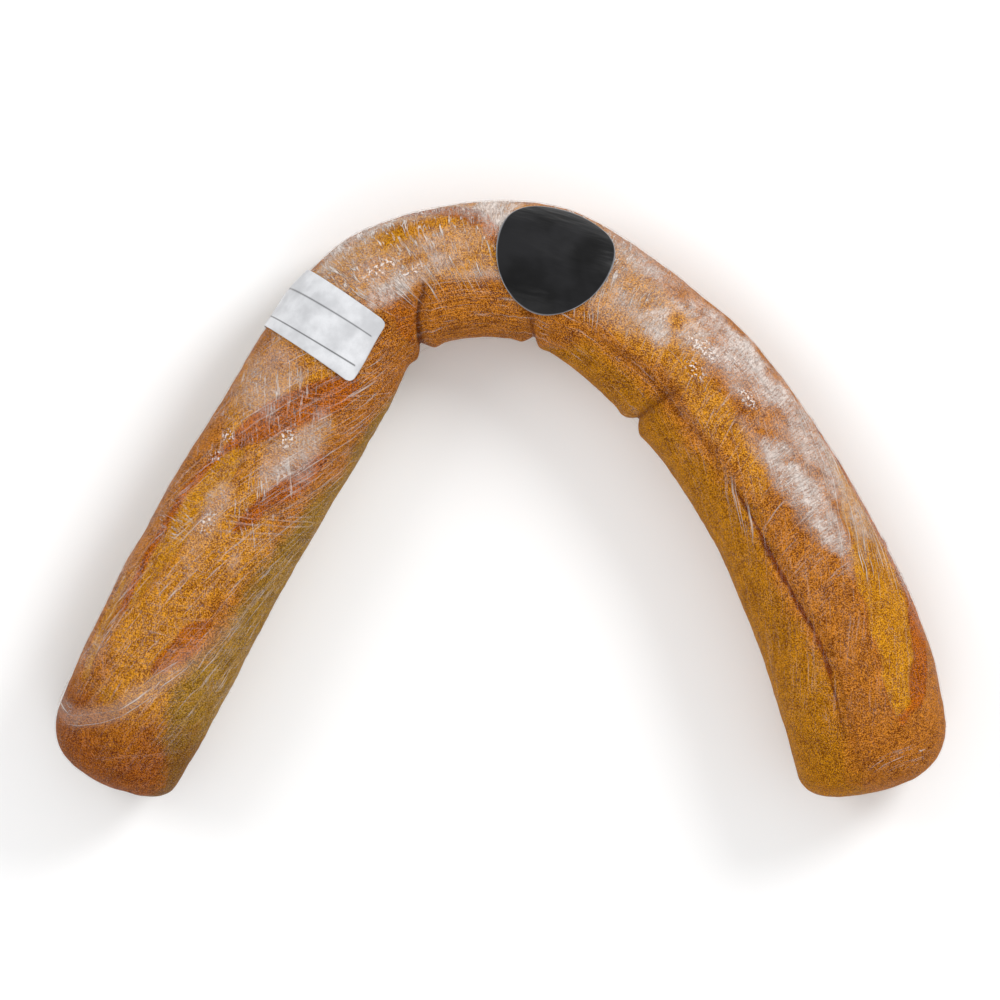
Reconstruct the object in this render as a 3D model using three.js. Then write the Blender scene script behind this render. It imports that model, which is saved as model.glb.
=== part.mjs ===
// A soft baguette, wrapped in cling film and carrying two blank stickers.
//
// The loaf lies on its side on a table, bent into an arch: its left leg runs up to the crown and its right leg
// runs down again. X is across the arch, Y is towards the crown and Z is up. The origin is on the table, under
// the middle of the arch's box. Every piece is laid out on one skin, described by the station s along the loaf's
// centre line and by the angle a around it: 0 faces into the arch, 90 is up, 180 is out of the arch, 270 is down.
import * as THREE from "three";

// ---- Driving dimensions, in millimetres and degrees ----

const CENTRE_LINE = [
  [-171.5, -122], [-148, -72], [-115.5, -11.5], [-80, 47.5], [-60.5, 78], [-34.5, 94.5], [-0.5, 99],
  [32.5, 91], [73, 60], [105.5, 20.5], [131.5, -25], [151, -73], [164, -125],
];
const HALF_WIDTH = [
  [0, 30], [60, 32.3], [195, 31.7], [240, 29], [335, 29.5], [440, 31.5], [530, 34.8], [600, 32.3],
];
const HEIGHT_SHARE = 0.93; // the loaf's height as a share of its width, because it sags on its side
const SQUARENESS = 2.25; // exponent of the section's superellipse: 2 is round
const FLAT_DEPTH = 2; // how much of the section's lowest part is pressed flat by the table
const END = { length: 21, skew: 6, squareness: 2.5 }; // the blunt ends, longer on the outside of the arch

// Where the inside of the bend has buckled. reach is how far up the loaf each valley goes, in degrees.
const FOLDS = [
  { station: 249, depth: 6.5, width: 6, reach: 95 },
  { station: 322, depth: 4.5, width: 5, reach: 75 },
  { station: 390, depth: 4.5, width: 6, reach: 85 },
];

const FILM = { gap: 0.3, thickness: 0.3, lapFrom: 40, lapTo: 550 };
const STICKER = { gap: 0.4, thickness: 0.3, drift: 0.0067 }; // drift is half the loaf's own bend, in 1/mm
const ROUND_STICKER = { station: 315.7, angle: 106.7, turn: 0, spread: 0.55, diameter: 52 };
const LONG_STICKER = {
  station: 218.2, angle: 132.4, turn: 2.8, spread: 0.1, width: 31.6, length: 74, corner: 3,
};

const ROWS = { end: 5, body: 64 }; // rows of the skin's grid in each blunt end and between them
const COLUMNS = 24; // columns around the loaf

// ---- The loaf's skin ----

const rad = THREE.MathUtils.degToRad;
const centreLine = new THREE.CatmullRomCurve3(
  CENTRE_LINE.map(([x, y]) => new THREE.Vector3(x, y, 0)), false, "catmullrom", 0.5,
);
centreLine.arcLengthDivisions = 2000;
const LENGTH = centreLine.getLength();
const UP = new THREE.Vector3(0, 0, 1);

// A value read from [station, value] pairs, eased between them.
function along(pairs, s) {
  const next = Math.max(1, pairs.findIndex(([at]) => at >= s));
  const [[s0, v0], [s1, v1]] = [pairs[next - 1], pairs[next]];
  return v0 + (v1 - v0) * THREE.MathUtils.smoothstep(s, s0, s1);
}

// How far the valleys of the buckled inside press the skin in.
function foldDepth(s, a) {
  const fromInside = Math.abs(THREE.MathUtils.euclideanModulo(a + 180, 360) - 180);
  return FOLDS.reduce((sum, fold) => {
    const fade = 1 - THREE.MathUtils.smoothstep(fromInside, 0.35 * fold.reach, fold.reach);
    return sum + (fold.depth * fade) / (1 + ((s - fold.station) / fold.width) ** 2);
  }, 0);
}

// A point lift above the skin. end is 1 at the tip of a blunt end and 0 where the end becomes the loaf's body.
function skinPoint(s, a, end, lift) {
  const [cos, sin] = [Math.cos(rad(a)), Math.sin(rad(a))];
  const u = THREE.MathUtils.clamp(s / LENGTH, 0, 1);
  const tangent = centreLine.getTangentAt(u);
  const inwards = new THREE.Vector3(tangent.y, -tangent.x, 0);
  const width = along(HALF_WIDTH, u * LENGTH);
  const height = HEIGHT_SHARE * width;
  const n = SQUARENESS;
  const round = (Math.abs(cos / width) ** n + Math.abs(sin / height) ** n) ** (-1 / n);
  const tip = Math.cos(rad(90 * (1 - end))); // 1 at the tip, 0 at the body
  const share = Math.sin(rad(90 * (1 - end))) ** (2 / END.squareness);
  const radius = share * (round - foldDepth(s, a)) + lift * Math.sin(rad(90 * (1 - end)));
  const tipwards = (s < LENGTH / 2 ? -1 : 1) * lift * tip;
  const middle = centreLine.getPointAt(u).addScaledVector(tangent, tipwards);
  middle.z = height - FLAT_DEPTH + FILM.gap + FILM.thickness;
  const point = middle.addScaledVector(inwards, radius * cos).addScaledVector(UP, radius * sin);
  point.z = Math.max(point.z, FILM.gap + FILM.thickness - lift);
  return point;
}

// The stations of the skin's rows at one angle: the blunt ends are longer on the outside of the arch.
function rowsAt(a) {
  const long = END.length - END.skew * Math.cos(rad(a));
  const rows = [];
  for (let i = 0; i <= ROWS.end; i++) {
    const end = 1 - i / ROWS.end;
    rows.push({ s: long * (1 - Math.cos(rad(90 * (1 - end))) ** (2 / END.squareness)), end });
  }
  for (let i = 1; i < ROWS.body; i++) rows.push({ s: long + ((LENGTH - 2 * long) * i) / ROWS.body, end: 0 });
  return rows.concat(rows.slice(0, ROWS.end + 1).reverse().map(({ s, end }) => ({ s: LENGTH - s, end })));
}

const LAST_ROW = 2 * ROWS.end + ROWS.body;

// The skin's grid, lifted. Column 0 is at 270 degrees less half a step, so that one column lies flat underneath.
function skinGrid(lift) {
  const columns = [];
  for (let j = 0; j < COLUMNS; j++) {
    const a = 270 + ((j - 0.5) * 360) / COLUMNS;
    columns.push(rowsAt(a).map(({ s, end }) => skinPoint(s, a, end, lift)));
  }
  return columns;
}

// ---- Meshes from grids ----

// Collects points and triangles of one closed surface.
class Surface {
  positions = [];
  triangles = [];
  add(point) {
    return this.positions.push(point.x, point.y, point.z) / 3 - 1;
  }
  quad(a, b, c, d) {
    this.triangles.push(a, b, c, a, c, d);
  }
  geometry() {
    const made = new THREE.BufferGeometry();
    made.setAttribute("position", new THREE.Float32BufferAttribute(this.positions, 3));
    made.setIndex(this.triangles);
    made.computeVertexNormals();
    return made;
  }
}

// Adds a grid's points, with one point for each tip, and returns their numbers by column and row.
function addSkin(surface, grid) {
  const [first, last] = [surface.add(grid[0][0]), surface.add(grid[0][LAST_ROW])];
  return grid.map((column) =>
    column.map((point, i) => (i === 0 ? first : i === LAST_ROW ? last : surface.add(point))),
  );
}

// The four corners of a cell, in order around it as seen from outside.
function cellCorners(numbers, i, j) {
  const next = (j + 1) % COLUMNS;
  return [numbers[j][i], numbers[j][i + 1], numbers[next][i + 1], numbers[next][i]];
}

// A quad, or the triangle that is left of it at a tip.
function addCell(surface, corners) {
  const kept = corners.filter((corner, k) => corner !== corners[(k + 1) % 4]);
  if (kept.length === 3) surface.triangles.push(...kept);
  else surface.quad(...kept);
}

function loafGeometry() {
  const surface = new Surface();
  const numbers = addSkin(surface, skinGrid(0));
  for (let j = 0; j < COLUMNS; j++)
    for (let i = 0; i < LAST_ROW; i++) addCell(surface, cellCorners(numbers, i, j));
  return surface.geometry();
}

// The film is a shell around the loaf. Its two long edges meet underneath in an open lap, one column wide.
function filmGeometry() {
  const surface = new Surface();
  const outer = addSkin(surface, skinGrid(FILM.gap + FILM.thickness));
  const inner = addSkin(surface, skinGrid(FILM.gap));
  const [from, to] = [FILM.lapFrom, FILM.lapTo].map((s) => rowsAt(270).findIndex((row) => row.s >= s));
  const inLap = (i, j) => j === 0 && i >= from && i < to;
  for (let j = 0; j < COLUMNS; j++)
    for (let i = 0; i < LAST_ROW; i++) {
      if (inLap(i, j)) continue;
      const [a, b, c, d] = cellCorners(outer, i, j);
      const [e, f, g, h] = cellCorners(inner, i, j);
      addCell(surface, [a, b, c, d]);
      addCell(surface, [e, h, g, f]);
      if (inLap(i - 1, j)) surface.quad(a, d, h, e);
      if (inLap(i + 1, j)) surface.quad(c, b, f, g);
      if (inLap(i, j - 1)) surface.quad(b, a, e, f);
      if (inLap(i, (j + 1) % COLUMNS)) surface.quad(d, c, g, h);
    }
  return surface.geometry();
}

// ---- Stickers ----

// Maps a flat point, x along the loaf and y around it, to the skin around a sticker's middle. On the outside of
// the bend the stations lie further apart: a sticker with no spread keeps its width there. A straight line that
// runs along the loaf drifts outwards, away from the loaf's lines, which follow the bend.
function layOn(sticker) {
  const lift = FILM.gap + FILM.thickness + STICKER.gap;
  const at = (s, a, up) => skinPoint(sticker.station + s, sticker.angle + a, 0, lift + up);
  const perDegree = at(0, 1, 0).distanceTo(at(0, -1, 0)) / 2;
  const middle = new THREE.Vector2();
  return (x, y, up) => {
    const flat = new THREE.Vector2(x, y).rotateAround(middle, rad(sticker.turn));
    const a = (flat.y + STICKER.drift * flat.x ** 2) / perDegree;
    const measured = a * (1 - sticker.spread);
    const perStation = at(1, measured, 0).distanceTo(at(-1, measured, 0)) / 2;
    return at(flat.x / perStation, a, up);
  };
}

// A closed thin plate from rows of flat points. Each row has the same number of points.
function plateGeometry(rows, place) {
  const surface = new Surface();
  const layer = (up) => rows.map((row) => row.map(([x, y]) => surface.add(place(x, y, up))));
  const [top, bottom] = [layer(STICKER.thickness), layer(0)];
  const last = { row: rows.length - 1, point: rows[0].length - 1 };
  for (let i = 0; i < last.row; i++)
    for (let j = 0; j < last.point; j++) {
      surface.quad(top[i][j], top[i + 1][j], top[i + 1][j + 1], top[i][j + 1]);
      surface.quad(bottom[i][j + 1], bottom[i + 1][j + 1], bottom[i + 1][j], bottom[i][j]);
    }
  for (let i = 0; i < last.row; i++) {
    surface.quad(bottom[i][0], bottom[i + 1][0], top[i + 1][0], top[i][0]);
    surface.quad(top[i][last.point], top[i + 1][last.point], bottom[i + 1][last.point], bottom[i][last.point]);
  }
  for (let j = 0; j < last.point; j++) {
    surface.quad(bottom[0][j + 1], bottom[0][j], top[0][j], top[0][j + 1]);
    surface.quad(top[last.row][j + 1], top[last.row][j], bottom[last.row][j], bottom[last.row][j + 1]);
  }
  return surface.geometry();
}

// Rows of points that fill a shape whose half length at each x is given.
function rowsOf(halfWidth, halfLength, rowCount, pointCount) {
  const rows = [];
  for (let i = 0; i <= rowCount; i++) {
    const x = -halfWidth * Math.cos((Math.PI * i) / rowCount);
    const row = [];
    for (let j = 0; j <= pointCount; j++) row.push([x, halfLength(x) * ((2 * j) / pointCount - 1)]);
    rows.push(row);
  }
  return rows;
}

function roundStickerGeometry() {
  const r = ROUND_STICKER.diameter / 2;
  const shortest = 0.04 * r; // the first and last rows keep a little length, so that no cell collapses
  const halfLength = (x) => Math.max(Math.sqrt(Math.max(r * r - x * x, 0)), shortest);
  return plateGeometry(rowsOf(r, halfLength, 14, 12), layOn(ROUND_STICKER));
}

function longStickerGeometry() {
  const [half, corner] = [LONG_STICKER.width / 2, LONG_STICKER.corner];
  const halfLength = (x) => {
    const intoCorner = Math.max(Math.abs(x) - (half - corner), 0);
    return LONG_STICKER.length / 2 - corner + Math.sqrt(Math.max(corner * corner - intoCorner ** 2, 0));
  };
  return plateGeometry(rowsOf(half, halfLength, 10, 20), layOn(LONG_STICKER));
}

// ---- Materials and the finished group ----

function material(color, roughness, extra = {}) {
  return new THREE.MeshStandardMaterial({ color, roughness, metalness: 0, ...extra });
}

function named(name, geometry, look) {
  const mesh = new THREE.Mesh(geometry, look);
  mesh.name = name;
  return mesh;
}

const baguette = new THREE.Group();
baguette.add(
  named("loaf", loafGeometry(), material(0xb9793a, 0.75)),
  named("film_wrap", filmGeometry(), material(0xf2eeec, 0.15, { transparent: true, opacity: 0.25 })),
  named("round_sticker", roundStickerGeometry(), material(0x1b1c1e, 0.4)),
  named("long_sticker", longStickerGeometry(), material(0xe6e8ea, 0.45)),
);

export default baguette;
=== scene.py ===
"""A soft baguette, bent into an arch and wrapped in cling film, with two blank stickers, on a pale floor.

Every piece is laid out on the loaf's skin, as in the model: by the station s along the centre line, in
millimetres, and by the angle a around it, in degrees. 0 faces into the arch, 90 is up, 180 is out of the
arch and 270 is down.
"""
import math

import bpy
import numpy as np
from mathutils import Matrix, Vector


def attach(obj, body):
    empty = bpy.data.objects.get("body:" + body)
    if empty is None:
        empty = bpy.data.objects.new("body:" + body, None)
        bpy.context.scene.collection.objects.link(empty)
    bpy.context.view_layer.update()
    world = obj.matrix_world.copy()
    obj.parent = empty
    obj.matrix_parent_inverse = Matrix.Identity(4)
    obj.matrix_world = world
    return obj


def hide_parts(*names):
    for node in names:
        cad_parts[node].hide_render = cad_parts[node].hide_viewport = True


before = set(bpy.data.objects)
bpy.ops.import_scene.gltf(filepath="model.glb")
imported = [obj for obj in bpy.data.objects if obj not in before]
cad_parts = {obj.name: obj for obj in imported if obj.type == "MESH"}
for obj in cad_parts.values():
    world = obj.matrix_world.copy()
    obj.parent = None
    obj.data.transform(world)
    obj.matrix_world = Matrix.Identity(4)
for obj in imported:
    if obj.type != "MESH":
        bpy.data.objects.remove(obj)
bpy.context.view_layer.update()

MM = 0.001

# ---- The skin's driving values, as in the model ----

CENTRE_LINE = [
    (-171.5, -122), (-148, -72), (-115.5, -11.5), (-80, 47.5), (-60.5, 78), (-34.5, 94.5), (-0.5, 99),
    (32.5, 91), (73, 60), (105.5, 20.5), (131.5, -25), (151, -73), (164, -125),
]
HALF_WIDTH = [
    (0, 30), (60, 32.3), (195, 31.7), (240, 29), (335, 29.5), (440, 31.5), (530, 34.8), (600, 32.3),
]
HEIGHT_SHARE = 0.93
SQUARENESS = 2.25
FLAT_DEPTH = 2
END_LENGTH, END_SKEW, END_SQUARENESS = 21, 6, 2.5
LOAF_BOTTOM = 0.6
BELOW_TABLE = -99  # a bottom that leaves the skin round, for measuring along it

ROWS_IN_END, ROWS_IN_BODY, COLUMNS = 30, 460, 172
MEAN_RADIUS = 30  # turns an angle around the loaf into millimetres

# ---- What shows on the loaf, as paths of (station, angle) ----

# Where the bend has buckled the loaf: path, depth, half width and how much shade is painted into the crease.
CREASES = [
    ([(246, -60), (247, 0), (249, 36), (256, 67), (260, 76), (261, 88), (260, 98)], 5.0, 2.0, 0.7),
    ([(320, -50), (319, 0), (316, 34), (311, 54), (306, 66)], 3.2, 2.0, 0.5),
    ([(321, 4), (326, 32), (338, 56)], 1.2, 1.8, 0.2),
    ([(316, 10), (309, 36), (300, 56)], 0.9, 1.4, 0.2),
    ([(296, 20), (297, 44), (298, 68)], 0.7, 1.2, 0.15),
    ([(330, 8), (338, 26), (352, 42)], 0.9, 1.8, 0.1),
    ([(390, -40), (389, 0), (389, 33), (391, 65), (397, 100)], 4.0, 2.4, 0.5),
    ([(341, 57), (357, 61), (376, 64), (397, 62), (415, 64), (428, 63), (442, 58)], 1.6, 2.6, 0.4),
    ([(436, 60), (447, 64), (469, 63), (488, 65), (500, 67), (517, 71), (534, 71), (560, 70), (600, 80)],
     1.8, 1.4, 1.0),
    ([(262, 86), (275, 78), (297, 75)], 0.9, 2.5, 0.1),
    ([(414, 116), (418, 97), (421, 87), (435, 79)], 1.0, 1.8, 0.5),
    ([(70, 46), (52, 32), (38, 16), (22, 0)], 0.5, 1.0, 0.35),
    ([(60, 32), (44, 16), (30, -8)], 0.5, 0.9, 0.3),
    ([(120, 30), (100, 20), (84, 4)], 0.4, 0.9, 0.25),
    ([(362, 40), (376, 44), (386, 30)], 0.6, 1.4, 0.35),
    ([(424, 44), (433, 40), (440, 22)], 0.5, 1.4, 0.3),
]

# The baker's slashes: path, widest half width, how golden, how strongly rimmed.
SLASHES = [
    ([(206, 62), (196, 71), (181, 90), (167, 107), (154, 122)], 7.5, 0.0, 1.0),
    ([(160, 114), (146, 119), (130, 124), (112, 129), (95, 131), (72, 135)], 7.5, 1.0, 1.0),
    ([(86, 160), (64, 152), (53, 148), (38, 143)], 5.0, 0.8, 0.5),
    ([(170, 50), (155, 60), (145, 68), (124, 84)], 4.0, 0.0, 1.0),
    ([(228, 150), (241, 142), (252, 138), (264, 120)], 8.0, 0.9, 0.3),
    ([(262, 164), (276, 152), (287, 136), (294, 112)], 4.5, 0.1, 0.9),
    ([(234, 96), (243, 84), (247, 62), (244, 40)], 5.0, 0.0, 0.6),
    ([(438, 172), (478, 152), (505, 139), (530, 132), (558, 114)], 15.5, 0.74, 0.8),
    ([(490, 180), (512, 167), (532, 152), (554, 132)], 6.0, 0.0, 0.9),
    # Not a slash: a painted shadow band in the rim colour along the brown side of the long crease, where its
    # lip throws shade.
    ([(448, 67), (488, 69), (517, 75), (548, 75), (572, 76)], 2.4, 0.0, 0.3),
    ([(84, 64), (76, 72), (66, 77), (55, 88)], 4.5, 0.0, 0.8),
    ([(38, 122), (34, 112), (31, 100)], 3.5, 0.9, 0.3),
]

# Where the brown crust is more amber: station, angle, reach along and around, and how much.
AMBER = [
    (100, 100, 110, 70, 0.9), (190, 110, 60, 70, 0.8), (250, 120, 60, 60, 1.0), (300, 130, 60, 60, 0.8),
    (360, 100, 60, 50, 0.9), (415, 85, 40, 25, 0.9),
]

# Where the brown top crust gives way to the paler inner side.
BROWN_FROM = [
    (0, 35), (18, 45), (35, 61), (55, 68), (77, 62), (100, 57), (123, 52), (147, 44), (171, 31), (193, 28),
    (215, 8), (240, -20), (310, -20), (336, 30), (345, 57), (376, 64), (415, 64), (447, 64), (488, 65),
    (517, 71), (568, 72), (600, 80),
]
BROWN_TO = 196


# ---- The skin ----

def curve_through(points, count):
    """Samples of the smooth curve through the points, with the length of the curve up to each."""
    points = np.array(points, float)
    framed = np.vstack([2 * points[0] - points[1], points, 2 * points[-1] - points[-2]])
    spans = len(points) - 1
    t = np.linspace(0, spans, count)
    k = np.minimum(t.astype(int), spans - 1)
    w = (t - k)[:, None]
    before, start, stop, after = (framed[k + i] for i in range(4))
    curve = (
        (2 * w**3 - 3 * w**2 + 1) * start + (w**3 - 2 * w**2 + w) * 0.5 * (stop - before)
        + (3 * w**2 - 2 * w**3) * stop + (w**3 - w**2) * 0.5 * (after - start)
    )
    steps = np.linalg.norm(np.diff(curve, axis=0), axis=1)
    return curve, np.concatenate([[0], np.cumsum(steps)])


CURVE, STATIONS = curve_through(CENTRE_LINE, 4000)
LENGTH = STATIONS[-1]
DIRECTIONS = np.gradient(CURVE, STATIONS, axis=0)


def smooth(x, low, high):
    """0 below low, 1 above high and eased between them."""
    t = np.clip((x - low) / (high - low), 0, 1)
    return t * t * (3 - 2 * t)


def along(pairs, s):
    """A value read from (station, value) pairs, eased between them."""
    stations, values = np.array(pairs, float).T
    k = np.clip(np.searchsorted(stations, s) - 1, 0, len(stations) - 2)
    t = np.clip((s - stations[k]) / (stations[k + 1] - stations[k]), 0, 1)
    return values[k] + (values[k + 1] - values[k]) * t * t * (3 - 2 * t)


def skin_points(s, a, end=0.0, lift=0.0, bottom=LOAF_BOTTOM):
    """Points lift above the skin. end is 1 at the tip of a blunt end and 0 on the loaf's body."""
    s, a, end, lift = np.broadcast_arrays(*(np.asarray(v, float) for v in (s, a, end, lift)))
    cos, sin = np.cos(np.radians(a)), np.sin(np.radians(a))
    u = np.clip(s, 0, LENGTH)
    middle = np.stack([np.interp(u, STATIONS, CURVE[:, i]) for i in (0, 1)], -1)
    tangent = np.stack([np.interp(u, STATIONS, DIRECTIONS[:, i]) for i in (0, 1)], -1)
    tangent /= np.linalg.norm(tangent, axis=-1, keepdims=True)
    inwards = np.stack([tangent[..., 1], -tangent[..., 0]], -1)
    width = along(HALF_WIDTH, u)
    height = HEIGHT_SHARE * width
    n = SQUARENESS
    around = (np.abs(cos / width) ** n + np.abs(sin / height) ** n) ** (-1 / n)
    body = np.sin(np.radians(90 * (1 - end)))
    tip = np.cos(np.radians(90 * (1 - end))) * np.where(s < LENGTH / 2, -1, 1)
    radius = body ** (2 / END_SQUARENESS) * around + lift * body
    flat = middle + tangent * (lift * tip)[..., None] + inwards * (radius * cos)[..., None]
    z = height - FLAT_DEPTH + LOAF_BOTTOM + radius * sin
    return np.concatenate([flat, np.maximum(z, bottom)[..., None]], -1)


class Grid:
    """Rows along the loaf and columns around it, with the skin's point at each crossing."""

    def __init__(self, angles):
        part = np.arange(ROWS_IN_END + 1) / ROWS_IN_END
        long = END_LENGTH - END_SKEW * np.cos(np.radians(angles))
        blunt = 1 - np.cos(np.radians(90 * part)) ** (2 / END_SQUARENESS)
        start = blunt[:, None] * long
        body = long + (LENGTH - 2 * long) * (np.arange(1, ROWS_IN_BODY) / ROWS_IN_BODY)[:, None]
        self.s = np.vstack([start, body, (LENGTH - start)[::-1]])
        ends = np.concatenate([1 - part, np.zeros(ROWS_IN_BODY - 1), (1 - part)[::-1]])
        self.end = np.broadcast_to(ends[:, None], self.s.shape)
        self.a = np.broadcast_to(angles, self.s.shape)
        self.points = skin_points(self.s, self.a, self.end, bottom=BELOW_TABLE)

    def on_top(self):
        """The angle from -90, just past the middle of the underside, to 270."""
        return (self.a + 90) % 360 - 90

    def standing_out(self):
        """1 where relief may show, fading to 0 where the table presses the loaf flat and at the tips."""
        from_below = np.abs((self.a - 90) % 360 - 180)
        return smooth(from_below, 22, 45) * smooth(1 - self.end, 0.0, 0.25)


def noise(points, size, seed):
    """Smooth noise from -1 to 1, with bumps about as large as size."""
    table = np.random.RandomState(seed).uniform(-1, 1, (32, 32, 32))
    where = points / size + 1000.5
    cell = np.floor(where).astype(int)
    f = where - cell
    f = f * f * f * (f * (6 * f - 15) + 10)
    total = 0
    for corner in np.ndindex(2, 2, 2):
        x, y, z = ((cell[..., i] + corner[i]) % 32 for i in range(3))
        weights = [f[..., i] if corner[i] else 1 - f[..., i] for i in range(3)]
        total = total + table[x, y, z] * weights[0] * weights[1] * weights[2]
    return total


def near(path, grid, count=40):
    """How far each point of a grid is from a path on the skin, where along it, and on which side."""
    line, _ = curve_through(path, count)
    points = skin_points(line[:, 0], line[:, 1], bottom=BELOW_TABLE)
    best = np.full(grid.s.shape, 1e9)
    share = np.zeros(grid.s.shape)
    side = np.zeros(grid.s.shape)
    for i in range(count - 1):
        step = points[i + 1] - points[i]
        offset = grid.points - points[i]
        t = np.clip(offset @ step / (step @ step), 0, 1)
        distance = np.linalg.norm(offset - t[..., None] * step, axis=-1)
        closer = distance < best
        best = np.where(closer, distance, best)
        share = np.where(closer, (i + t) / (count - 1), share)
        turn = (grid.a - (line[i, 1] + t * (line[i + 1, 1] - line[i, 1])) + 180) % 360 - 180
        side = np.where(closer, np.sign(turn), side)
    return best, share, side


def crease_relief(grid):
    """The depth of the creases, and the painted shade that darkens them."""
    depth = np.zeros(grid.s.shape)
    crease_shade = np.zeros(grid.s.shape)
    for path, deepest, half, shade_strength in CREASES:
        distance, share, _ = near(path, grid)
        distance = distance + 0.35 * noise(grid.points, 5, 31)
        fade = smooth(share, -0.05, 0.2) * smooth(1 - share, -0.02, 0.3)
        valley = np.exp(-np.abs(distance / half) ** 1.3)
        shoulder = np.exp(-((distance - 2.4 * half) / (1.3 * half)) ** 2)
        depth += fade * deepest * (valley - 0.22 * shoulder)
        crease_shade = np.maximum(crease_shade, fade * shade_strength * np.exp(-(distance / (0.6 * half)) ** 2))
    return depth, crease_shade


def slash_fields(grid):
    """How golden and how orange the slashes are at each point, and the relief of their edges."""
    gold = np.zeros(grid.s.shape)
    rim = np.zeros(grid.s.shape)
    relief = np.zeros(grid.s.shape)
    rough = 1.9 * noise(grid.points, 10, 41) + 0.8 * noise(grid.points, 3.5, 42)
    for path, widest, golden, rimmed in SLASHES:
        distance, share, side = near(path, grid)
        half = widest * np.sqrt(np.clip(4 * share * (1 - share), 0.02, 1))
        edge = (distance + rough) / half
        inside = 1 - smooth(edge, 0.75, 1.1)
        gold = np.maximum(gold, inside * golden)
        ring = np.exp(-(((distance + 0.6 * rough) - half) / (1.2 + 0.12 * widest)) ** 2)
        rim = np.maximum(rim, rimmed * ring * np.where(side > 0, 1, 0.45))
        rim = np.maximum(rim, inside * rimmed * (1 - golden) * 0.85)
        relief += np.where(side > 0, 0.5, 0.6) * ring - 1.1 * inside
    return gold, rim, relief


def lumps(points):
    """The slow waves of the loaf's shape."""
    return 0.9 * noise(points, 46, 11) + 0.5 * noise(points, 19, 12)


# What the stickers cover: station, angle, reach along and around.
UNDER_STICKERS = [(315.7, 107, 27, 52), (218.2, 132, 17, 72)]


def near_sticker(grid):
    """1 under the stickers and 0 well away from them."""
    covered = np.zeros(grid.s.shape)
    for station, angle, reach_s, reach_a in UNDER_STICKERS:
        far = np.maximum(np.abs(grid.s - station) / reach_s, np.abs(grid.a % 360 - angle) / reach_a)
        covered = np.maximum(covered, 1 - smooth(far, 1.0, 1.25))
    return covered


# ---- Meshes ----

def make_object(name, points, faces, material):
    """A smooth mesh object from points in millimetres."""
    mesh = bpy.data.meshes.new(name)
    mesh.from_pydata((points * MM).tolist(), [], faces)
    mesh.materials.append(material)
    mesh.shade_smooth()
    mesh.validate()
    piece = bpy.data.objects.new(name, mesh)
    bpy.context.scene.collection.objects.link(piece)
    return piece


def skin_object(name, grid, points, closed, material, fields):
    """A piece from a grid's points, with each field as a float attribute.

    The first and the last row are single points, at the loaf's two tips.
    """
    rows, columns = grid.s.shape
    numbers = np.arange(1, (rows - 2) * columns + 1).reshape(rows - 2, columns)
    first, last = 0, (rows - 2) * columns + 1
    numbers = np.vstack([np.full(columns, first), numbers, np.full(columns, last)])
    faces = []
    for j in range(columns if closed else columns - 1):
        k = (j + 1) % columns
        left, right = numbers[:, j].tolist(), numbers[:, k].tolist()
        faces.append((first, left[1], right[1]))
        faces += [(left[i], left[i + 1], right[i + 1], right[i]) for i in range(1, rows - 2)]
        faces.append((left[rows - 2], last, right[rows - 2]))

    def per_vertex(values):
        between = values[1:-1].reshape((-1,) + values.shape[2:])
        return np.concatenate([values[:1, 0], between, values[-1:, 0]])

    piece = make_object(name, per_vertex(points), faces, material)
    for key, values in fields.items():
        layer = piece.data.attributes.new(key, "FLOAT", "POINT")
        layer.data.foreach_set("value", per_vertex(values).astype(np.float32))
    return piece


# ---- Material nodes ----

def srgb(red, green, blue):
    """A colour given as it shows on a screen, 0 to 255."""
    def linear(v):
        v /= 255
        return v / 12.92 if v <= 0.04045 else ((v + 0.055) / 1.055) ** 2.4
    return (linear(red), linear(green), linear(blue), 1.0)


class Shader:
    """Builds one material's nodes. Each call adds a node and gives its output."""

    def __init__(self, name):
        self.material = bpy.data.materials.new(name)
        self.material.use_nodes = True
        self.tree = self.material.node_tree
        self.tree.nodes.clear()

    def node(self, kind, inputs, **settings):
        node = self.tree.nodes.new(kind)
        for key, value in settings.items():
            setattr(node, key, value)
        for socket, value in inputs.items():
            if isinstance(value, bpy.types.NodeSocket):
                self.tree.links.new(value, node.inputs[socket])
            else:
                node.inputs[socket].default_value = value
        return node

    def field(self, name):
        return self.node("ShaderNodeAttribute", {}, attribute_name=name).outputs["Fac"]

    def place(self):
        return self.node("ShaderNodeTexCoord", {}).outputs["Object"]

    def vector(self, x, y, z=0.0):
        return self.node("ShaderNodeCombineXYZ", {0: x, 1: y, 2: z}).outputs[0]

    def noise(self, vector, scale, detail=3.0, roughness=0.55, distortion=0.0):
        inputs = {"Vector": vector, "Scale": scale, "Detail": detail, "Roughness": roughness,
                  "Distortion": distortion}
        return self.node("ShaderNodeTexNoise", inputs).outputs["Fac"]

    def math(self, operation, a, b=0.0):
        return self.node("ShaderNodeMath", {0: a, 1: b}, operation=operation).outputs[0]

    def total(self, *values):
        result = values[0]
        for value in values[1:]:
            result = self.math("ADD", result, value)
        return result

    def product(self, *values):
        result = values[0]
        for value in values[1:]:
            result = self.math("MULTIPLY", result, value)
        return result

    def ease(self, value, low, high, start=0.0, stop=1.0):
        inputs = {"Value": value, 1: low, 2: high, 3: start, 4: stop}
        kind = "ShaderNodeMapRange"
        return self.node(kind, inputs, interpolation_type="SMOOTHSTEP").outputs[0]

    def mix(self, factor, a, b, blend="MIX"):
        inputs = {0: factor, 6: a, 7: b}
        return self.node("ShaderNodeMix", inputs, data_type="RGBA", blend_type=blend).outputs[2]

    def bump(self, height, distance, strength=1.0):
        inputs = {"Height": height, "Distance": distance, "Strength": strength}
        return self.node("ShaderNodeBump", inputs).outputs[0]

    def finish(self, **inputs):
        named = {key.replace("_", " "): value for key, value in inputs.items()}
        shader = self.node("ShaderNodeBsdfPrincipled", named)
        self.node("ShaderNodeOutputMaterial", {"Surface": shader.outputs[0]})
        return self.material


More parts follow.
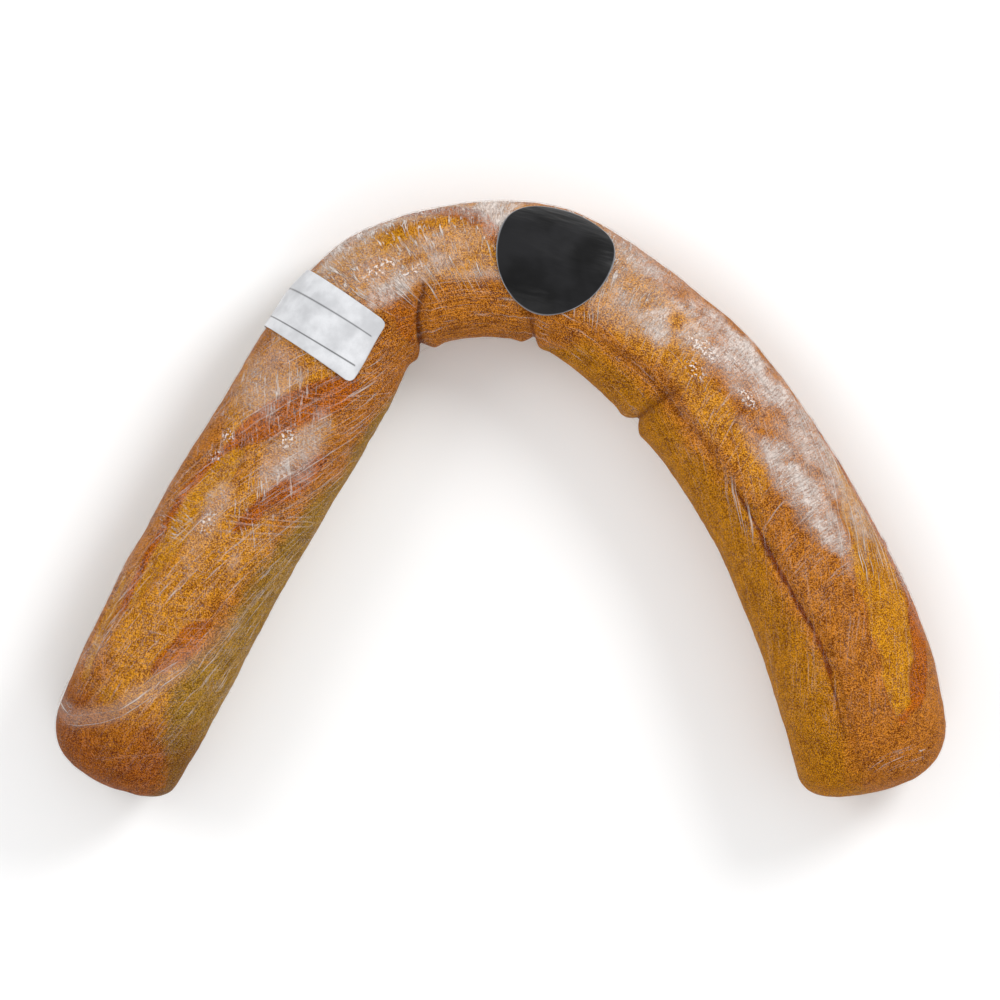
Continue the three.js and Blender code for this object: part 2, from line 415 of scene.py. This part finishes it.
def crust_material():
    """Crust: brown on top, golden in the slashes, pale inside the bend, darker at the rims, with painted
    shade in the creases and beside the long crease.
    """
    m = Shader("crust")
    place = m.place()
    fine = m.noise(place, 2300, 1, 0.6)
    grain = m.noise(place, 1250, 2, 0.7)
    clot = m.noise(place, 330, 3, 0.65)
    patch = m.noise(place, 110, 3, 0.6)
    wide = m.noise(place, 30, 2, 0.5)
    threads = m.noise(m.vector(m.product(m.field("s"), 0.035), m.product(m.field("v"), 1.5)), 1.0, 3, 0.6)
    speck = m.total(m.product(fine, 0.56), m.product(grain, 0.32), m.product(clot, 0.12))
    speck = m.total(speck, m.product(m.total(patch, -0.5), 0.14))
    speck = m.total(speck, m.product(m.total(threads, -0.5), m.field("threads"), 0.3))
    tone = m.ease(speck, 0.42, 0.6)
    brown = m.mix(tone, srgb(98, 42, 0), srgb(212, 134, 40))
    amber = m.mix(tone, srgb(116, 56, 0), srgb(230, 158, 38))
    gold = m.mix(tone, srgb(126, 66, 0), srgb(226, 158, 22))
    pale = m.mix(tone, srgb(100, 64, 4), srgb(182, 138, 46))
    inner = m.mix(tone, srgb(108, 56, 0), srgb(212, 142, 16))
    rim = m.mix(tone, srgb(94, 38, 0), srgb(206, 110, 4))
    # Painted shade colour for the creases.
    shaded_slit = m.mix(tone, srgb(78, 28, 0), srgb(136, 64, 8))
    amberness = m.total(m.field("amber"), m.product(m.total(wide, -0.5), 2.4))
    brown = m.mix(m.ease(amberness, 0.2, 0.8), brown, amber)
    pale = m.mix(m.field("inner"), pale, inner)
    brownness = m.total(m.field("brown"), m.total(patch, -0.5), m.product(m.total(grain, -0.5), 0.9))
    colour = m.mix(m.ease(brownness, 0.08, 0.92), pale, brown)
    edge = m.product(m.total(grain, -0.5), 0.6)
    golden = m.total(m.field("gold"), edge, m.product(m.total(clot, -0.5), 0.4))
    colour = m.mix(m.ease(golden, 0.3, 0.85), colour, gold)
    # Darker orange rims round the slashes, and with them the painted shadow band beside the long crease.
    colour = m.mix(m.ease(m.total(m.field("rim"), edge), 0.2, 0.9), colour, rim)
    # Painted shade: the creases darken toward the shaded slit colour.
    colour = m.mix(m.ease(m.total(m.field("crease_shade"), m.product(edge, 0.5)), 0.1, 0.8), colour, shaded_slit)
    bake = m.ease(m.total(m.field("baked"), m.product(m.total(patch, -0.5), 1.6)), 0.1, 0.9)
    colour = m.mix(bake, colour, (0.66, 0.52, 0.4, 1.0), "MULTIPLY")
    height = m.total(m.product(grain, 0.6), m.product(fine, 0.4), m.product(patch, 0.8))
    roughness = m.ease(grain, 0.3, 0.7, 0.42, 0.68)
    return m.finish(Base_Color=colour, Roughness=roughness, Specular_IOR_Level=0.04,
                    Normal=m.bump(height, 0.0014, 0.8))


CLEAR_FILM = 0.002  # how much of it shows where it is smooth


def film_material():
    """Clear cling film: almost invisible where it is smooth, whitish along its many stretch lines, which are
    its own creases brightened by painted highlight; its white patches, glints and specks are painted
    highlights.
    """
    m = Shader("film")
    place = m.place()
    s, v = m.field("s"), m.field("v")

    def lines(across, length, spacing, seed, sharp=36.0):
        """Fine ridges that follow the level lines of a field, broken up along their length."""
        wander = m.product(m.total(m.noise(m.vector(s, v, seed), 0.04, 2), -0.5), 5.0)
        q = m.product(m.total(across, wander), 1 / spacing)
        along_line = m.product(m.total(s, m.product(v, 0.5)), 1 / length)
        n = m.noise(m.vector(along_line, q, seed), 1.0, 1.5, 0.5)
        ridge = m.math("SUBTRACT", 1.0, m.product(m.math("ABSOLUTE", m.total(n, -0.5)), sharp))
        gaps = m.vector(m.product(along_line, 1.5), m.product(q, 0.8), seed + 40)
        broken = m.ease(m.noise(gaps, 1.0, 2), 0.5, 0.64)
        return m.product(m.math("MAXIMUM", ridge, 0.0), broken)

    q_long, q_cross, q_steep = m.field("q_long"), m.field("q_cross"), m.field("q_steep")
    long_lines = m.total(lines(q_long, 90.0, 2.2, 3.0), lines(q_long, 50.0, 1.1, 5.0, 30.0))
    cross_lines = m.total(lines(q_cross, 9.0, 2.0, 7.0), lines(q_cross, 5.0, 1.1, 9.0, 26.0))
    steep_lines = m.total(lines(q_steep, 30.0, 2.0, 11.0), lines(q_steep, 14.0, 1.1, 17.0, 26.0))
    fine_lines = lines(q_long, 38.0, 0.9, 25.0, 24.0)
    band_lines = lines(m.field("q_band"), 30.0, 1.4, 13.0, 18.0)
    silk = m.noise(m.vector(m.product(s, 1.2), m.product(v, 0.24), 21.0), 1.0, 3, 0.65, 0.8)
    clumps = m.ease(m.noise(place, 60, 3, 0.6), 0.36, 0.56)
    streaks = m.total(
        m.product(long_lines, m.field("m_long")), m.product(cross_lines, m.field("m_cross")),
        m.product(steep_lines, m.field("m_steep")),
    )
    streaks = m.product(streaks, m.total(m.product(clumps, 0.7), 0.3))
    speck = m.noise(place, 1400, 2, 0.75)
    # Painted highlights: the haze field whitens the film in patches, with silky ripples and glitter specks.
    highlight_veil = m.field("highlight_haze")
    # Painted glints: tiny bright specks, more of them in the highlight patches, and clusters at the glint
    # spots.
    painted_glitter = m.product(m.ease(speck, 0.54, 0.68), m.total(m.product(highlight_veil, 0.6), 0.02))
    painted_glitter = m.total(painted_glitter, m.product(m.ease(m.noise(place, 900, 1), 0.56, 0.64), m.field("painted_glint")))
    cloud = m.ease(m.noise(place, 120, 4, 0.65), 0.35, 0.65)
    crinkle = m.math("ABSOLUTE", m.total(m.noise(place, 300, 2, 0.6, 1.5), -0.5))
    crinkle = m.math("MAXIMUM", m.math("SUBTRACT", 1.0, m.product(crinkle, 34.0)), 0.0)
    crinkle = m.product(crinkle, m.ease(m.noise(place, 260, 2), 0.45, 0.6))
    soft_highlight = m.product(highlight_veil, m.total(m.product(cloud, 0.32), 0.26, m.product(m.ease(silk, 0.4, 0.6), 0.42)))
    alpha = m.total(
        CLEAR_FILM, m.product(streaks, 0.7), m.product(fine_lines, m.field("m_fine"), 0.42),
        m.product(soft_highlight, 0.75), m.product(painted_glitter, 0.9), m.product(crinkle, m.field("crinkled"), 0.18),
        m.product(m.field("band"), m.total(m.product(band_lines, 0.7), 0.12)),
    )
    alpha = m.math("MINIMUM", alpha, 0.9)
    height = m.total(streaks, m.product(m.field("band"), band_lines), m.product(speck, 0.5), crinkle,
                     m.product(silk, highlight_veil, 1.5))
    return m.finish(
        Base_Color=srgb(234, 222, 214), Roughness=0.25, IOR=1.5, Alpha=alpha,
        Normal=m.bump(height, 0.0006, 0.8),
    )


def black_material():
    """Black coated paper with a slight ripple and a pale cut edge."""
    m = Shader("black_sticker")
    place = m.place()
    cloud = m.noise(place, 40, 3)
    ripple = m.noise(m.vector(m.product(m.field("x"), 0.05), m.product(m.field("y"), 0.22)), 1.0, 2)
    colour = m.mix(m.ease(cloud, 0.4, 0.7), srgb(11, 11, 12), srgb(28, 28, 30))
    colour = m.mix(m.field("edge"), colour, srgb(150, 150, 154))
    roughness = m.ease(cloud, 0.3, 0.7, 0.3, 0.42)
    return m.finish(Base_Color=colour, Roughness=roughness, Specular_IOR_Level=0.18,
                    Normal=m.bump(m.total(m.product(cloud, 0.5), ripple), 0.0012, 0.5))


def pale_material():
    """Pale label paper with two thin dark rules."""
    m = Shader("pale_sticker")
    place = m.place()
    cloud = m.noise(place, 70, 3)
    fibre = m.noise(place, 1800, 2)
    colour = m.mix(m.ease(cloud, 0.35, 0.65), srgb(186, 187, 190), srgb(214, 215, 218))
    colour = m.mix(m.product(m.ease(fibre, 0.4, 0.7), 0.15), colour, srgb(170, 172, 176))
    colour = m.mix(m.field("rule"), colour, srgb(40, 40, 42))
    height = m.total(cloud, m.product(fibre, 0.1))
    return m.finish(Base_Color=colour, Roughness=0.42, Normal=m.bump(height, 0.0006, 0.5))


# ---- The loaf ----

def spot(grid, s, a, reach_s, reach_a, ragged=0.0):
    """1 in the middle of a soft oval patch and 0 outside it. ragged moves its edge in and out."""
    far = np.hypot((grid.s - s) / reach_s, (grid.on_top() - a) / reach_a)
    return 1 - smooth(far + ragged, 0.35, 1.0)


def make_loaf():
    grid = Grid(270 + (np.arange(COLUMNS) - 0.5) * 360 / COLUMNS)
    depth, crease_shade = crease_relief(grid)
    gold, rim, slash_relief = slash_fields(grid)
    texture = 0.16 * noise(grid.points, 4.5, 21) + 0.1 * noise(grid.points, 2.4, 22)
    out = grid.standing_out()
    clear = 1 - near_sticker(grid)
    relief = out * (lumps(grid.points) + clear * (texture + slash_relief) - depth)
    points = skin_points(grid.s, grid.a, grid.end, relief)
    top = grid.on_top()
    ragged = 7 * noise(grid.points, 24, 51) + 4 * noise(grid.points, 9, 52)
    from_edge = top - along(BROWN_FROM, grid.s) + ragged
    brown = smooth(from_edge, -24, 15) * (1 - smooth(top + ragged, BROWN_TO - 10, BROWN_TO + 14))
    on_crown = smooth(grid.s, 256, 264) * (1 - smooth(grid.s, 306, 320))
    amber = sum(strength * spot(grid, s, a, rs, ra) for s, a, rs, ra, strength in AMBER)
    fields = {
        "brown": brown, "gold": gold, "rim": rim, "crease_shade": crease_shade, "inner": smooth(grid.s, 225, 250),
        "amber": np.clip(amber, 0, 1),
        "baked": 1 - smooth(grid.s, 18, 52) + 0.3 * smooth(grid.s, 552, 585),
        "threads": 0.15 + 0.85 * on_crown * (1 - smooth(top, 72, 84)),
        "s": grid.s, "v": grid.a * math.radians(1) * MEAN_RADIUS,
    }
    loaf = skin_object("baked_loaf", grid, points, True, crust_material(), fields)
    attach(loaf, "root")
    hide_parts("loaf")
    return loaf


# ---- The film ----

FILM_FROM, FILM_LAP = 262, 22  # degrees: where the film starts, and how far it laps over itself
FILM_LIFT = 0.5
FILM_BELOW = 0.25  # how far the film lies under the loaf's bottom
LAP_LIFT, LAP_DROP = 0.25, 0.2  # how far the lap stands off the film, and hangs lower under the loaf
PUCKER_HEIGHT = 0.25
STEEP_TURN = math.radians(32)  # how the steep stretch lines slant

# Painted highlights, where the wrinkled film catches the lamps and shows white: station, angle, reach along
# and around, and how white.
HIGHLIGHT_PATCHES = [
    (168, 70, 20, 20, 0.5), (158, 84, 16, 14, 0.35), (186, 128, 26, 34, 0.3), (131, 108, 13, 13, 0.4),
    (111, 73, 6, 8, 0.3), (116, 106, 20, 12, 0.15), (50, 145, 10, 16, 0.15), (80, 168, 60, 20, 0.12),
    (232, 125, 26, 50, 0.25), (262, 96, 40, 16, 0.4), (292, 158, 14, 34, 0.9), (262, 160, 50, 22, 0.4),
    (242, 150, 26, 26, 0.2), (276, 112, 22, 26, 0.3), (250, 90, 14, 10, 0.35), (285, 85, 24, 8, 0.4),
    (297, 130, 5, 30, 0.9), (345, 120, 40, 40, 0.3), (352, 95, 26, 24, 0.25), (340, 152, 60, 28, 0.3),
    (366, 104, 14, 18, 0.5), (383, 118, 20, 22, 0.55), (392, 138, 30, 26, 0.55), (408, 136, 26, 22, 0.5),
    (406, 116, 12, 12, 0.4), (440, 146, 60, 22, 0.6), (452, 108, 30, 16, 0.7), (470, 116, 30, 12, 0.6),
    (436, 100, 26, 12, 0.3), (500, 170, 60, 16, 0.2), (442, 126, 34, 18, 0.3), (258, 118, 20, 16, 0.25),
]

# Painted glints, where small facets of the film catch the light: station, angle, reach along and around.
PAINTED_GLINTS = [
    (169, 86, 6, 9), (157, 130, 4, 8), (147, 131, 4, 7), (121, 106, 7, 7), (386, 116, 10, 9), (390, 98, 8, 8),
    (413, 116, 7, 6), (248, 112, 10, 8), (257, 99, 9, 5),
]

# The band of gathered film near the left end.
BAND_HALF_WIDTH, BAND_LIFT = 4.2, 0.5
BAND = [
    (30, 178), (26, 168), (23, 150), (22, 138), (24, 125), (31, 104), (40, 93), (54, 78), (66, 67), (90, 47),
]


def blurred(values, reach):
    """Values averaged over reach steps each way, three times, along and around the grid."""
    for _ in range(3):
        for axis in (0, 1):
            padded = np.concatenate([np.repeat(values.take([0], axis), reach, axis), values,
                                     np.repeat(values.take([-1], axis), reach, axis)], axis)
            sums = np.cumsum(np.concatenate([padded.take([0], axis) * 0, padded], axis), axis)
            size = values.shape[axis]
            upper = np.arange(2 * reach + 1, 2 * reach + 1 + size)
            values = (sums.take(upper, axis) - sums.take(upper - 2 * reach - 1, axis)) / (2 * reach + 1)
    return values


def film_grid():
    """Once around the loaf and on over the lap."""
    step = 360 / COLUMNS
    return Grid(FILM_FROM + np.arange(COLUMNS + round(FILM_LAP / step) + 1) * step)


def film_points(grid, band):
    """The film follows the loaf, bridges its small dents and puckers a little."""
    depth, _ = crease_relief(grid)
    _, _, slash_relief = slash_fields(grid)
    out = grid.standing_out()
    clear = 1 - near_sticker(grid)
    relief = out * (lumps(grid.points) + clear * slash_relief - depth)
    bridged = np.maximum(blurred(relief, 4), blurred(relief, 9) - 0.1)
    in_lap = smooth(grid.a, FILM_FROM + 360 - 2, FILM_FROM + 360)
    pucker = PUCKER_HEIGHT * out * clear * np.maximum(noise(grid.points, 7, 61), 0)
    lift = np.maximum(bridged, relief + 0.1) + FILM_LIFT + LAP_LIFT * in_lap + pucker + BAND_LIFT * band
    points = skin_points(grid.s, grid.a, grid.end, lift, bottom=LOAF_BOTTOM - FILM_BELOW)
    points[..., 2] -= LAP_DROP * in_lap * (points[..., 2] < LOAF_BOTTOM)
    return points


def line_strengths(grid):
    """How strongly each set of stretch lines shows, by the name of its field."""
    top = grid.on_top()
    left = 1 - smooth(grid.s, 205, 235)
    crown = smooth(grid.s, 205, 235) * (1 - smooth(grid.s, 335, 375))
    right = smooth(grid.s, 335, 375)
    upper = smooth(top, 62, 85)
    flank = smooth(top, 108, 126)
    m_long = left * (0.3 + 0.6 * smooth(top, 5, 30) * (1 - smooth(top, 60, 78)))
    m_long = m_long + crown * (0.25 + 0.3 * (1 - upper)) + right * 0.1
    m_long = m_long + 2.2 * smooth(grid.s, 385, 410) * flank * (1 - smooth(grid.s, 500, 530))
    m_long = m_long + 1.5 * spot(grid, 66, 136, 16, 16) + 0.8 * spot(grid, 450, 62, 30, 14)
    m_cross = crown * upper * 2.0 + left * 0.3
    m_cross = m_cross + right * upper * (1 - flank) * (1 - smooth(grid.s, 480, 520)) * 0.6
    m_cross = m_cross + 2.5 * spot(grid, 116, 134, 9, 22) + 4.0 * spot(grid, 576, 112, 6, 40)
    m_steep = left * (0.15 + 0.7 * spot(grid, 190, 135, 60, 60) + 0.6 * spot(grid, 150, 80, 50, 35)) + 0.05
    off_ends = smooth(grid.s, 22, 60) * (1 - smooth(grid.s, 545, 575))
    fading = 0.25 + 0.75 * off_ends
    return {
        "m_long": m_long * fading, "m_cross": m_cross * fading, "m_steep": m_steep * fading,
        "m_fine": left * smooth(top, 12, 40) * fading + 0.4 * right * off_ends,
        "crinkled": (0.05 + 0.95 * smooth(top, 25, 65)) * fading,
    }


def line_levels(grid, v):
    """The fields whose level lines the stretch lines follow, in millimetres."""
    slope_long = along(
        [(0, 12), (80, 12), (150, 26), (205, 30), (240, 4), (330, 0), (390, 6), (430, 19), (520, 19),
         (590, 4)],
        STATIONS,
    )
    drift = np.concatenate([[0], np.cumsum(np.tan(np.radians(slope_long[1:])) * np.diff(STATIONS))])
    return {
        "q_long": v + np.interp(grid.s, STATIONS, drift),
        "q_cross": grid.s + 4 * np.sin(v / 13) + 0.25 * v,
        "q_steep": v * math.cos(STEEP_TURN) - grid.s * math.sin(STEEP_TURN),
    }


def film_highlights(grid):
    """How strongly painted highlights whiten the wrinkled film at each point."""
    top = grid.on_top()
    ragged = 0.25 * noise(grid.points, 8, 81) + 0.12 * noise(grid.points, 3, 82)
    highlight_haze = sum(strength * spot(grid, s, a, rs, ra, ragged) for s, a, rs, ra, strength in HIGHLIGHT_PATCHES)
    # A faint painted reflection along the outward flank; the painted highlights fade out low on the inner
    # side.
    highlight_haze = (highlight_haze + 0.1 * smooth(top, 150, 178)) * smooth(top, 15, 50)
    return np.clip(highlight_haze, 0, 1.1)


def make_film():
    grid = film_grid()
    v = (grid.a - FILM_FROM) * math.radians(1) * MEAN_RADIUS
    band_distance, _, band_side = near(BAND, grid)
    band = np.exp(-(band_distance / BAND_HALF_WIDTH) ** 4) * (1 - 0.7 * smooth(grid.s, 50, 85))
    fields = {
        "s": grid.s, "v": v, "band": band, "highlight_haze": film_highlights(grid),
        "painted_glint": sum(spot(grid, s, a, rs, ra) for s, a, rs, ra in PAINTED_GLINTS),
        "q_band": band_distance * band_side,
        **line_strengths(grid), **line_levels(grid, v),
    }
    film = skin_object("cling_film", grid, film_points(grid, band), False, film_material(), fields)
    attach(film, "root")
    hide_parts("film_wrap")


# ---- The stickers ----

ROUND_STICKER = {"station": 315.7, "angle": 106.7, "turn": 0, "spread": 0.55}
LONG_STICKER = {"station": 218.2, "angle": 132.4, "turn": 2.8, "spread": 0.1}
STICKER_LIFT, STICKER_THICKNESS = 1.15, 0.15
DRIFT = 0.0067  # half the loaf's own bend, in 1/mm


def lay_on(sticker, x, y, up):
    """Lays flat points, x along the loaf and y around it, on the film around a sticker's middle."""
    turn = math.radians(sticker["turn"])
    along_loaf, around = x * math.cos(turn) - y * math.sin(turn), x * math.sin(turn) + y * math.cos(turn)

    def at(s, a, lift):
        return skin_points(sticker["station"] + s, sticker["angle"] + a, 0, lift)

    per_degree = np.linalg.norm(at(0, 1, 1) - at(0, -1, 1)) / 2
    a = (around + DRIFT * along_loaf**2) / per_degree
    measured = a * (1 - sticker["spread"])
    per_station = np.linalg.norm(at(1, measured, 1) - at(-1, measured, 1), axis=-1) / 2
    s = along_loaf / per_station
    base = at(s, a, 0)
    return at(s, a, lumps(base) + STICKER_LIFT + up)


def sticker_object(name, node, sticker, x, y, material, fields):
    """A thin curved plate from a grid of flat points."""
    rows, columns = x.shape
    wave = 0.12 * noise(np.stack([x, y, 0 * x], -1), 11, 71)
    top = lay_on(sticker, x, y, STICKER_THICKNESS + wave)
    under = lay_on(sticker, x, y, wave)
    numbers = np.arange(rows * columns).reshape(rows, columns)
    below = numbers + rows * columns
    faces = []
    for i in range(rows - 1):
        for j in range(columns - 1):
            corners = [(i, j), (i + 1, j), (i + 1, j + 1), (i, j + 1)]
            faces.append([int(numbers[c]) for c in corners])
            faces.append([int(below[c]) for c in reversed(corners)])
    rim = [(i, 0) for i in range(rows)] + [(rows - 1, j) for j in range(1, columns)]
    rim += [(i, columns - 1) for i in range(rows - 2, -1, -1)] + [(0, j) for j in range(columns - 2, 0, -1)]
    for here, after in zip(rim, rim[1:] + rim[:1]):
        faces.append([int(below[here]), int(below[after]), int(numbers[after]), int(numbers[here])])
    points = np.concatenate([top.reshape(-1, 3), under.reshape(-1, 3)])
    piece = make_object(name, points, faces, material)
    for key, values in fields.items():
        layer = piece.data.attributes.new(key, "FLOAT", "POINT")
        layer.data.foreach_set("value", np.tile(values.ravel(), 2).astype(np.float32))
    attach(piece, "root")
    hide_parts(node)


def make_round_sticker():
    radius, count = 26, 64
    u, w = np.meshgrid(np.linspace(-1, 1, count), np.linspace(-1, 1, count), indexing="ij")
    # A square grid pressed into a disc, so that no row shrinks to a point.
    x = radius * u * np.sqrt(1 - w * w / 2)
    y = radius * w * np.sqrt(1 - u * u / 2)
    edge = smooth(np.hypot(x, y), radius - 0.45, radius - 0.1)
    sticker_object("black_round_sticker", "round_sticker", ROUND_STICKER, x, y,
                   black_material(), {"edge": edge, "x": x, "y": y})


def make_long_sticker():
    half, length, corner = 15.8, 37, 3
    x, share = np.meshgrid(np.linspace(-half, half, 57), np.linspace(-1, 1, 141), indexing="ij")
    into_corner = np.maximum(np.abs(x) - (half - corner), 0)
    y = share * (length - corner + np.sqrt(np.maximum(corner**2 - into_corner**2, 0)))
    rule = np.maximum(np.exp(-((x - 6.0) / 0.25) ** 8), np.exp(-((x + 9.2) / 0.25) ** 8))
    rule = rule * smooth(y, -34.5, -34) * (1 - smooth(y, 34, 34.5))
    sticker_object("pale_long_sticker", "long_sticker", LONG_STICKER, x, y,
                   pale_material(), {"rule": rule})


# ---- The floor, the light and the camera ----

def make_floor():
    mesh = bpy.data.meshes.new("floor")
    mesh.from_pydata([(-3, -3, 0), (3, -3, 0), (3, 3, 0), (-3, 3, 0)], [], [(0, 1, 2, 3)])
    m = Shader("floor")
    cloud = m.noise(m.place(), 3, 2)
    colour = m.mix(cloud, srgb(247, 247, 247), srgb(250, 250, 250))
    mesh.materials.append(m.finish(Base_Color=colour, Roughness=0.8))
    floor = bpy.data.objects.new("floor", mesh)
    bpy.context.scene.collection.objects.link(floor)


def make_light(name, place, size, power):
    light = bpy.data.lights.new(name, "AREA")
    light.shape = "DISK"
    light.size = size
    light.energy = power
    lamp = bpy.data.objects.new(name, light)
    lamp.location = place
    lamp.rotation_euler = (-Vector(place)).to_track_quat("-Z", "Y").to_euler()
    bpy.context.scene.collection.objects.link(lamp)


def make_stage():
    make_floor()
    make_light("key", (0.95, 0.75, 0.9), 0.6, 11)
    make_light("left_fill", (-1.1, 0.5, 1.0), 0.8, 6)
    make_light("front_fill", (0.1, -1.1, 1.3), 1.0, 5)
    scene = bpy.context.scene
    world = bpy.data.worlds.new("studio")
    world.use_nodes = True
    world.node_tree.nodes["Background"].inputs["Color"].default_value = (1, 1, 1, 1)
    world.node_tree.nodes["Background"].inputs["Strength"].default_value = 0.7
    scene.world = world
    scene.view_settings.view_transform = "Standard"


def make_camera():
    """Straight above the arch, with its crown at the top of the frame."""
    height, middle, view = 3.0, 0.03, 0.43
    data = bpy.data.cameras.new("camera")
    data.lens = data.sensor_width * (height - middle) / view
    camera = bpy.data.objects.new("camera", data)
    camera.location = (0, 0, height)
    bpy.context.scene.collection.objects.link(camera)
    bpy.context.scene.camera = camera


make_camera()
make_stage()
baked = make_loaf()
make_film()
make_round_sticker()
make_long_sticker()
